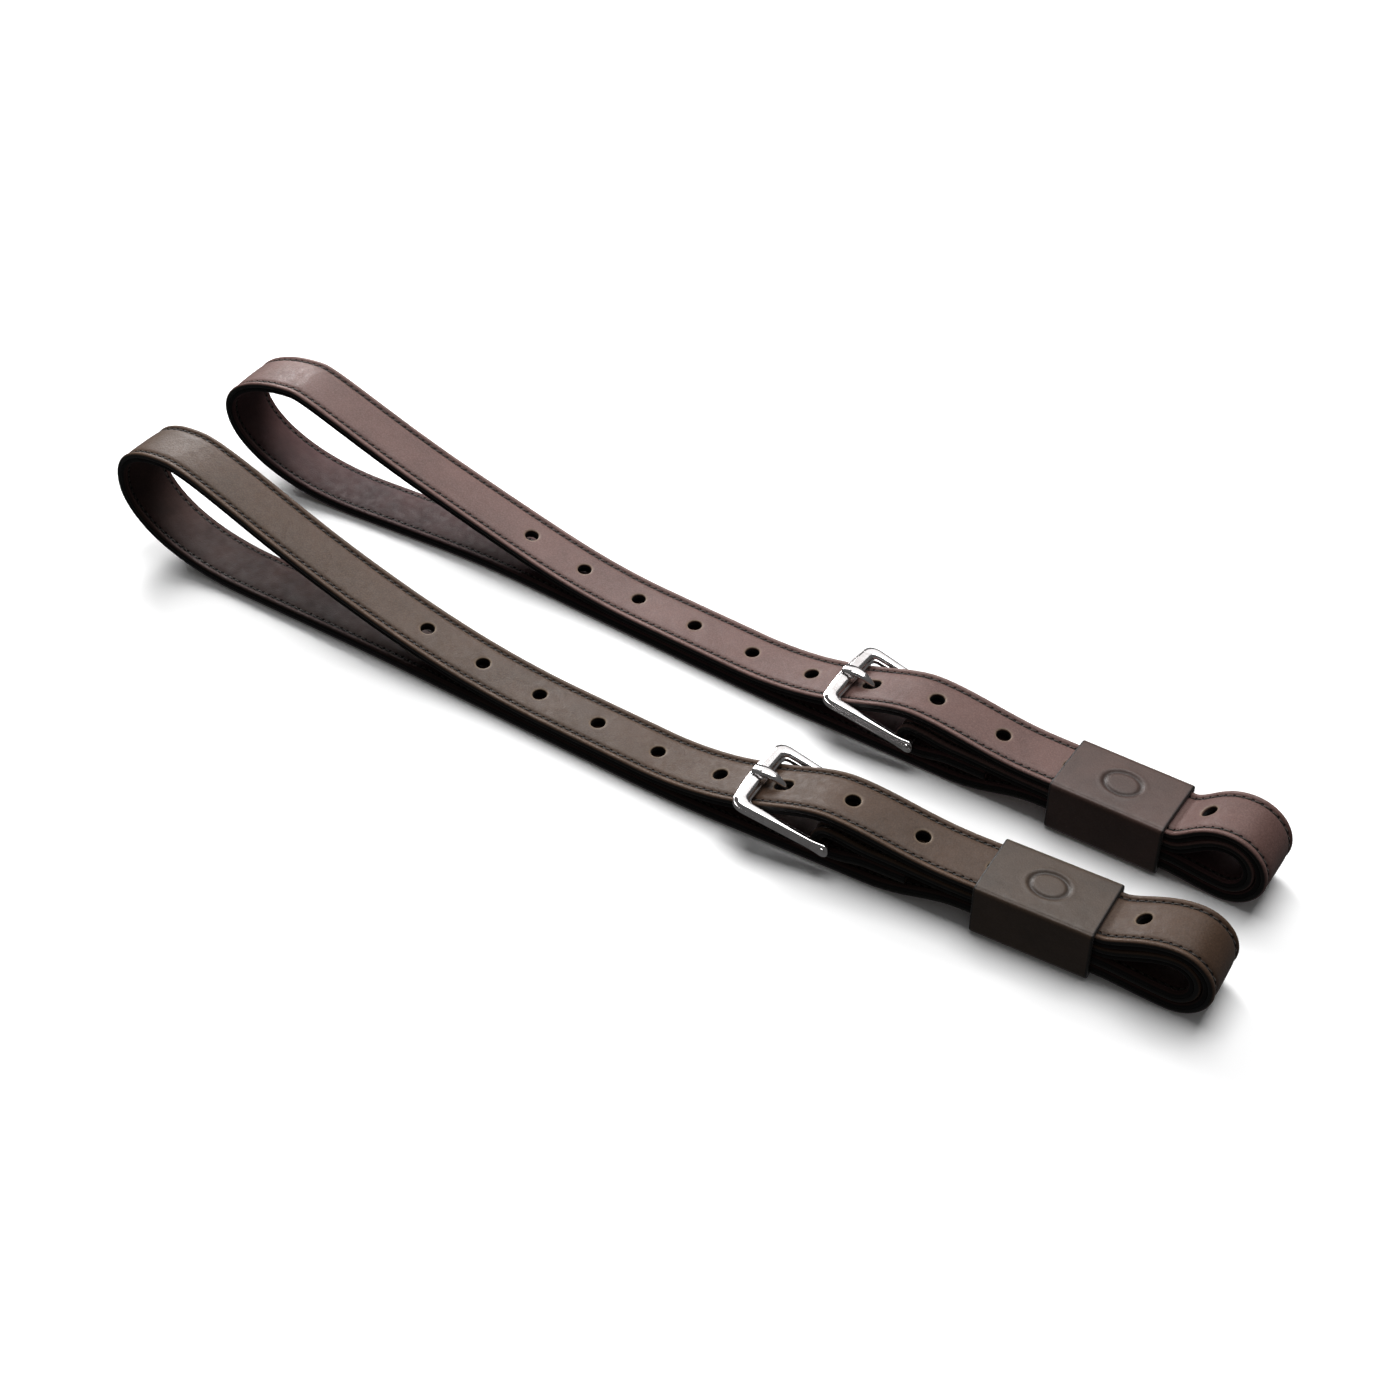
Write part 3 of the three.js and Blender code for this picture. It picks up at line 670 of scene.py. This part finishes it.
def keeper(strap, material):
    x0, x1, wall = KEEPER
    rows, pressed = keeper_rows(x0, x1, wall)
    count = len(rows[0][0])
    rings = [list(range(i * count, (i + 1) * count)) for i in range(len(rows))]
    verts = np.vstack([strap.place(*row) for row in rows])
    across = np.concatenate([row[1] for row in rows]) * MM
    ends = np.concatenate([np.minimum(row[0] - x0, x1 - row[0]) for row in rows]) * MM
    return finish_mesh(f"keeper_sleeve_{strap.tag}", verts, wall_faces(rings + rings[:1]),
                       material, 60,
                       data={"across": across, "from_end": ends, "pressed": pressed})


# ---------- materials ----------

def linear(r, g, b):
    def one(c):
        c /= 255
        return c / 12.92 if c <= 0.04045 else ((c + 0.055) / 1.055) ** 2.4
    return (one(r), one(g), one(b), 1.0)


class Nodes:
    """Short calls for building one material's node tree."""

    def __init__(self, name):
        self.material = bpy.data.materials.new(name)
        self.material.use_nodes = True
        self.tree = self.material.node_tree
        self.tree.nodes.clear()
        self.shader = self.add("ShaderNodeBsdfPrincipled")
        out = self.add("ShaderNodeOutputMaterial")
        self.link(self.shader.outputs[0], out.inputs[0])
        self.coords = self.add("ShaderNodeTexCoord").outputs["Object"]

    def add(self, kind, **settings):
        node = self.tree.nodes.new(kind)
        for key, value in settings.items():
            setattr(node, key, value)
        return node

    def link(self, a, b):
        self.tree.links.new(a, b)

    def feed(self, node, key, value):
        if hasattr(value, "is_output"):
            self.link(value, node.inputs[key])
        else:
            node.inputs[key].default_value = value

    def set(self, **sockets):
        for key, value in sockets.items():
            self.feed(self.shader, key.replace("_", " "), value)

    def attribute(self, name):
        return self.add("ShaderNodeAttribute", attribute_name=name).outputs["Fac"]

    def noise(self, scale, detail=4.0, rough=0.55, coords=None, distort=0.0):
        node = self.add("ShaderNodeTexNoise")
        self.link(coords or self.coords, node.inputs["Vector"])
        node.inputs["Scale"].default_value = scale
        node.inputs["Detail"].default_value = detail
        node.inputs["Roughness"].default_value = rough
        node.inputs["Distortion"].default_value = distort
        return node.outputs["Fac"]

    def cells(self, scale, coords=None, feature="F1", output="Distance"):
        node = self.add("ShaderNodeTexVoronoi", feature=feature)
        self.link(coords or self.coords, node.inputs["Vector"])
        node.inputs["Scale"].default_value = scale
        return node.outputs[output]

    def maths(self, operation, a, b=0.0, c=0.0, clamp=False):
        node = self.add("ShaderNodeMath", operation=operation, use_clamp=clamp)
        for i, value in enumerate((a, b, c)):
            self.feed(node, i, value)
        return node.outputs[0]

    def span(self, value, low, high, to_low=0.0, to_high=1.0, smooth=False):
        node = self.add("ShaderNodeMapRange", clamp=True,
                        interpolation_type="SMOOTHSTEP" if smooth else "LINEAR")
        for key, v in zip(("Value", "From Min", "From Max", "To Min", "To Max"),
                          (value, low, high, to_low, to_high)):
            self.feed(node, key, v)
        return node.outputs[0]

    def mix(self, factor, a, b):
        node = self.add("ShaderNodeMix", data_type="RGBA")
        for key, v in (("Factor", factor), (6, a), (7, b)):
            self.feed(node, key if isinstance(key, int) else 0, v)
        return node.outputs[2]

    def stretched(self, sx, sy, sz):
        node = self.add("ShaderNodeMapping")
        self.link(self.coords, node.inputs["Vector"])
        node.inputs["Scale"].default_value = (sx, sy, sz)
        return node.outputs[0]

    def bump(self, *layers):
        """Each layer is (height, strength, distance in metres)."""
        normal = None
        for height, strength, distance in layers:
            node = self.add("ShaderNodeBump")
            node.inputs["Strength"].default_value = strength
            node.inputs["Distance"].default_value = distance
            self.link(height, node.inputs["Height"])
            if normal:
                self.link(normal, node.inputs["Normal"])
            normal = node.outputs[0]
        self.link(normal, self.shader.inputs["Normal"])


def grain(m, size=1.0):
    """Fine pebbled grain with pores, as a height."""
    pebble = m.cells(1500 / size, feature="SMOOTH_F1")
    pore = m.noise(2600 / size, 2)
    return m.maths("MULTIPLY_ADD", pebble, -0.7, m.maths("MULTIPLY", pore, 0.6))


def bell(m, value, middle, width):
    """1 at the middle, falling to 0 a width away."""
    away = m.maths("ABSOLUTE", m.maths("SUBTRACT", value, middle))
    return m.span(away, 0.0, width, 1.0, 0.0, smooth=True)


def needle_holes(m, across, offset):
    """1 at each needle hole of an edge seam, between one stitch and the next: the mask for the
    painted shade and the dent there.
    """
    pitch = STITCH["pitch"] * MM
    along = m.maths("SUBTRACT", m.attribute("along"), (STITCH["first"] + offset) * MM)
    phase = m.maths("ABSOLUTE", m.maths("SUBTRACT", m.maths(
        "FRACT", m.maths("DIVIDE", along, pitch)), 0.5))
    du = m.maths("MULTIPLY", m.maths("SUBTRACT", 0.5, phase), pitch)
    away = m.maths("SQRT", m.maths("ADD", m.maths("POWER", m.maths(
        "SUBTRACT", 0.5 * pitch, du), 2.0), m.maths("POWER", m.maths(
            "SUBTRACT", across, 8.4 * MM), 2.0)))
    return m.span(away, 0.25 * MM, 0.75 * MM, 1.0, 0.0, smooth=True)


def face_leather(name, base, shade, bright):
    """Oiled upper leather: mottled, with painted shade in the stitch groove, at the needle holes
    and on the lower walls of the holes, and edges burnished black and painted near black to
    stand for the shade on the strap's sides as well; worn a little paler on the raised bead, and
    pale at the rims of the holes, as bare leather at the cut with a painted highlight on the
    rounded lip."""
    m = Nodes(name)
    cloud = m.span(m.noise(45, 6, 0.62, distort=0.5), 0.32, 0.68)
    fleck = m.span(m.noise(1700, 3), 0.4, 0.72)
    colour = m.mix(m.maths("MULTIPLY", cloud, 0.7), base, shade)
    colour = m.mix(m.maths("MULTIPLY", fleck, 0.3), colour, bright)
    across = m.maths("ABSOLUTE", m.attribute("across"))
    outward = m.attribute("outward")
    groove = bell(m, across, 8.4 * MM, 0.85 * MM)
    bead = bell(m, across, 10.0 * MM, 0.75 * MM)
    # The edges are burnished black and painted this near black so that they also stand for the
    # shade on the strap's sides.
    edge = m.span(outward, 1.8 * MM, 1.2 * MM, 0.0, 1.0, smooth=True)
    edge = m.maths("MULTIPLY", edge, m.span(across, 9.6 * MM, 10.4 * MM))
    inside = m.span(outward, 1.5 * MM, 1.1 * MM)
    rub = m.maths("MULTIPLY", bead, m.span(m.noise(120, 3), 0.35, 0.65))
    pricks = needle_holes(m, across, 0.0)
    # Painted shade: the stitch groove is darkened towards near black.
    colour = m.mix(m.maths("MULTIPLY", groove, 0.6), colour, linear(20, 15, 13))
    colour = m.mix(m.maths("MULTIPLY", rub, 0.5), colour, bright)
    # Partly painted highlight: the hole rims are tinted pale as bare leather at the cut, palest
    # on the rounded lip where a highlight falls.
    colour = m.mix(m.maths("MULTIPLY", m.attribute("rim"), 0.6), colour, linear(128, 112, 94))
    # Painted shade: a near-black dot at each needle hole.
    colour = m.mix(pricks, colour, linear(5, 4, 4))
    # Painted shade: the lower walls of the holes and the face's hidden underside are painted near
    # black.
    colour = m.mix(m.maths("MULTIPLY", inside, m.span(across, 7.2 * MM, 6.4 * MM)), colour,
                   linear(18, 15, 12))
    colour = m.mix(edge, colour, linear(9, 8, 7))
    m.set(Base_Color=colour, Roughness=m.span(m.noise(420, 3), 0.3, 0.7, 0.46, 0.62),
          Specular_IOR_Level=0.22, Sheen_Weight=0.03, Sheen_Roughness=0.45)
    m.bump((grain(m), 0.4, 0.00022), (m.noise(160, 4, distort=0.4), 0.2, 0.0006),
           (m.maths("MULTIPLY", pricks, -1.0), 0.8, 0.0006))
    return m.material


def lining_leather(name, base, shade):
    """Softer, darker leather of the back, with faint creases, painted shade in the stitch groove
    and at the needle holes, and black edges painted near black to stand for the shade on the
    sides as well.
    """
    m = Nodes(name)
    cloud = m.span(m.noise(55, 5, 0.6), 0.3, 0.7)
    colour = m.mix(cloud, base, shade)
    across = m.maths("ABSOLUTE", m.attribute("across"))
    outward = m.attribute("outward")
    groove = bell(m, across, 8.4 * MM, 0.8 * MM)
    bead = bell(m, across, 9.6 * MM, 0.7 * MM)
    edge = m.span(outward, -1.75 * MM, -1.2 * MM, 0.0, 1.0, smooth=True)
    pricks = needle_holes(m, across, STITCH["pitch"] / 2)
    # Painted shade: the stitch groove is darkened towards near black.
    colour = m.mix(m.maths("MULTIPLY", groove, 0.5), colour, linear(12, 8, 8))
    colour = m.mix(m.maths("MULTIPLY", bead, 0.35), colour, linear(92, 66, 62))
    # Painted shade: a near-black dot at each needle hole.
    colour = m.mix(pricks, colour, linear(4, 3, 3))
    # The edges are dyed black and painted this near black so that they also stand for the shade
    # on the strap's sides.
    colour = m.mix(edge, colour, linear(9, 7, 7))
    m.set(Base_Color=colour, Roughness=m.span(m.noise(300, 3), 0.3, 0.7, 0.55, 0.72),
          Specular_IOR_Level=0.12, Sheen_Weight=0.02, Sheen_Roughness=0.5)
    m.bump((grain(m, 0.8), 0.35, 0.0002), (m.noise(210, 4, distort=0.8), 0.3, 0.0005),
           (m.maths("MULTIPLY", pricks, -1.0), 0.8, 0.0006))
    return m.material


def keeper_leather(name, base, shade, bright):
    """Smooth pressed leather with burnished cut ends, painted near black so that they also stand
    for the shade on the ends.
    """
    m = Nodes(name)
    cloud = m.span(m.noise(60, 5, 0.6, distort=0.5), 0.3, 0.7)
    colour = m.mix(cloud, base, shade)
    colour = m.mix(m.maths("MULTIPLY", m.span(m.noise(1500, 3), 0.4, 0.7), 0.25), colour, bright)
    burnish_and_shade = m.span(m.attribute("from_end"), 0.0002, 0.0010, 1.0, 0.0, smooth=True)
    pressed = m.attribute("pressed")
    colour = m.mix(m.maths("MULTIPLY", pressed, 0.55), colour, linear(20, 16, 13))
    # The cut ends are burnished dark and painted near black so that they also stand for the shade
    # on the ends.
    colour = m.mix(m.maths("MULTIPLY", burnish_and_shade, 0.9), colour, linear(9, 8, 7))
    m.set(Base_Color=colour, Roughness=m.span(m.noise(350, 3), 0.3, 0.7, 0.42, 0.56),
          Specular_IOR_Level=0.3, Sheen_Weight=0.04, Sheen_Roughness=0.45)
    m.bump((grain(m, 0.85), 0.3, 0.0002), (m.noise(120, 3), 0.15, 0.0005))
    return m.material


def thread(name):
    """Waxed twisted thread: dark, with the twist showing along each stitch."""
    m = Nodes(name)
    twist = m.add("ShaderNodeTexWave", wave_type="BANDS", bands_direction="DIAGONAL")
    m.link(m.coords, twist.inputs["Vector"])
    twist.inputs["Scale"].default_value = 420
    twist.inputs["Distortion"].default_value = 1.2
    colour = m.mix(twist.outputs["Fac"], linear(24, 19, 16), linear(58, 50, 40))
    colour = m.mix(m.span(m.noise(140, 3), 0.35, 0.65), colour, linear(34, 28, 23))
    m.set(Base_Color=colour, Roughness=m.span(m.noise(900, 2), 0.3, 0.7, 0.6, 0.8),
          Specular_IOR_Level=0.3, Sheen_Weight=0.2)
    m.bump((twist.outputs["Fac"], 0.6, 0.00012))
    return m.material


def webbing(name):
    """Plain-woven nylon web laid inside the strap."""
    m = Nodes(name)
    weave = m.add("ShaderNodeTexWave", bands_direction="X")
    m.link(m.coords, weave.inputs["Vector"])
    weave.inputs["Scale"].default_value = 500
    cross = m.add("ShaderNodeTexWave", bands_direction="Y")
    m.link(m.coords, cross.inputs["Vector"])
    cross.inputs["Scale"].default_value = 500
    height = m.maths("MULTIPLY", weave.outputs["Fac"], cross.outputs["Fac"])
    colour = m.mix(height, linear(9, 9, 8), linear(26, 25, 24))
    m.set(Base_Color=colour, Roughness=m.span(m.noise(500, 2), 0.3, 0.7, 0.6, 0.8))
    m.bump((height, 0.5, 0.0002))
    return m.material


def steel(name):
    """Polished stainless steel with faint buffing scratches and a little handling haze."""
    m = Nodes(name)
    scratch = m.noise(1.0, 4, coords=m.stretched(500, 6000, 2500))
    haze = m.noise(240, 4, distort=0.5)
    smudge = m.span(haze, 0.4, 0.7)
    colour = m.mix(smudge, linear(214, 211, 211), linear(192, 187, 186))
    rough = m.maths("ADD", m.span(scratch, 0.35, 0.7, 0.09, 0.17), m.maths(
        "MULTIPLY", smudge, 0.06))
    m.set(Base_Color=colour, Metallic=1.0, Roughness=rough)
    m.bump((scratch, 0.05, 0.00004), (m.noise(90, 2), 0.03, 0.0004))
    return m.material


def floor_material():
    m = Nodes("floor_paper")
    tone = m.span(m.noise(6, 3), 0.3, 0.7)
    m.set(Base_Color=m.mix(tone, linear(250, 250, 250), linear(246, 246, 246)),
          Roughness=m.span(tone, 0, 1, 0.8, 0.9), Specular_IOR_Level=0.1)
    return m.material


# Painted light: strap b's face, lining and keeper leathers are lighter, pinker copies of strap
# a's, standing for the light on the rear strap.
MATERIALS = {
    "face_a": face_leather("leather_face_a", linear(66, 48, 36), linear(49, 36, 26),
                           linear(92, 70, 54)),
    "face_b": face_leather("leather_face_b", linear(92, 68, 63), linear(70, 51, 47),
                           linear(124, 96, 90)),
    "lining_a": lining_leather("leather_lining_a", linear(58, 40, 36), linear(40, 27, 25)),
    "lining_b": lining_leather("leather_lining_b", linear(72, 49, 48), linear(52, 35, 35)),
    "keeper_a": keeper_leather("leather_keeper_a", linear(64, 49, 38), linear(49, 38, 29),
                               linear(80, 66, 54)),
    "keeper_b": keeper_leather("leather_keeper_b", linear(74, 54, 48), linear(57, 42, 37),
                               linear(88, 71, 63)),
    "thread": thread("waxed_thread"),
    "web": webbing("nylon_web"),
    "steel": steel("polished_steel"),
}


# ---------- the object ----------

def own(piece, body, slot, *nodes):
    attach(piece, body)
    if nodes:
        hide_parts(*nodes)
    return piece


def build_strap(tag):
    strap = Strap(tag)
    body = f"strap_{tag}"
    face = layer(strap, "face_leather_shaped", FACE_TOP, FACE_BASE, MATERIALS[f"face_{tag}"],
                 True, False)
    own(face, body, f"leather_face_{tag}", f"face_leather_{tag}")
    lining = layer(strap, "lining_shaped", LINING_TOP, LINING_BASE,
                   MATERIALS[f"lining_{tag}"], False, True)
    own(lining, body, f"leather_lining_{tag}", f"lining_leather_{tag}")
    web = layer(strap, "web_shaped", WEB_TOP, WEB_BASE, MATERIALS["web"], False, False)
    own(web, body, "web", f"web_core_{tag}")
    for side, where in ((-1, "near"), (1, "far")):
        seam = stitches(strap, f"seam_{where}_{tag}", edge_rows(strap, side),
                        MATERIALS["thread"])
        own(seam, body, "thread", f"edge_thread_{where}_{tag}")
        block = stitches(strap, f"chape_seam_{where}_{tag}", chape_rows(strap, side),
                         MATERIALS["thread"])
        own(block, body, "thread", f"chape_stitch_{where}_{tag}")
    shell = buckle_frame(strap, MATERIALS["steel"])
    own(shell, f"buckle_{tag}", "steel", f"buckle_frame_{tag}")
    own(pin(strap, MATERIALS["steel"]), f"buckle_{tag}", "steel", f"buckle_bar_{tag}")
    own(tongue(strap, MATERIALS["steel"]), f"tongue_{tag}", "steel", f"buckle_tongue_{tag}")
    own(keeper(strap, MATERIALS[f"keeper_{tag}"]), f"keeper_{tag}", f"leather_keeper_{tag}",
        f"keeper_{tag}")


# ---------- stage, light and camera ----------

def stage():
    mesh = bpy.data.meshes.new("floor")
    size = 4.0
    mesh.from_pydata([(-size, -size, 0), (size, -size, 0), (size, size, 0), (-size, size, 0)],
                     [], [(0, 1, 2, 3)])
    mesh.materials.append(floor_material())
    floor = bpy.data.objects.new("floor", mesh)
    floor.location.z = -0.0002
    floor.visible_diffuse = floor.visible_glossy = False  # a mat floor that throws nothing back
    bpy.context.scene.collection.objects.link(floor)


def soft_light(name, place, target, size, power, glossy=True):
    data = bpy.data.lights.new(name, "AREA")
    data.shape = "RECTANGLE"
    data.size, data.size_y = size
    data.energy = power
    light = bpy.data.objects.new(name, data)
    light.location = place
    light.visible_glossy = glossy
    aim = Vector(target) - Vector(place)
    light.rotation_euler = aim.to_track_quat("-Z", "Y").to_euler()
    bpy.context.scene.collection.objects.link(light)


def lights():
    centre = (0.08, 0.03, 0.02)
    soft_light("overhead", (0.05, 0.4, 1.4), centre, (1.1, 0.9), 22.5)
    soft_light("key", (-0.58, 0.48, 0.48), (-0.1, 0.05, 0.03), (0.4, 0.35), 9)
    soft_light("back_card", (-0.35, 1.0, 1.0), centre, (1.6, 0.9), 6)
    soft_light("front_fill", (0.8, -1.1, 0.7), centre, (0.9, 0.7), 0.25, glossy=False)
    world = bpy.data.worlds.new("studio")
    world.use_nodes = True
    world.node_tree.nodes["Background"].inputs[0].default_value = (1, 1, 1, 1)
    world.node_tree.nodes["Background"].inputs[1].default_value = 0.12
    bpy.context.scene.world = world


def camera():
    data = bpy.data.cameras.new("camera")
    data.lens, data.sensor_width = 56.43, 36
    data.clip_start, data.clip_end = 0.01, 20
    cam = bpy.data.objects.new("camera", data)
    turn = (Matrix.Rotation(math.radians(35.22), 4, "Z")
            @ Matrix.Rotation(math.radians(47.61), 4, "X")
            @ Matrix.Rotation(math.radians(-0.53), 4, "Z"))
    cam.matrix_world = Matrix.Translation((0.4223, -0.43005, 0.52138)) @ turn
    bpy.context.scene.collection.objects.link(cam)
    bpy.context.scene.camera = cam


bpy.context.scene.view_settings.view_transform = "Standard"
for strap_tag in STRAPS:
    build_strap(strap_tag)
stage()
lights()
camera()
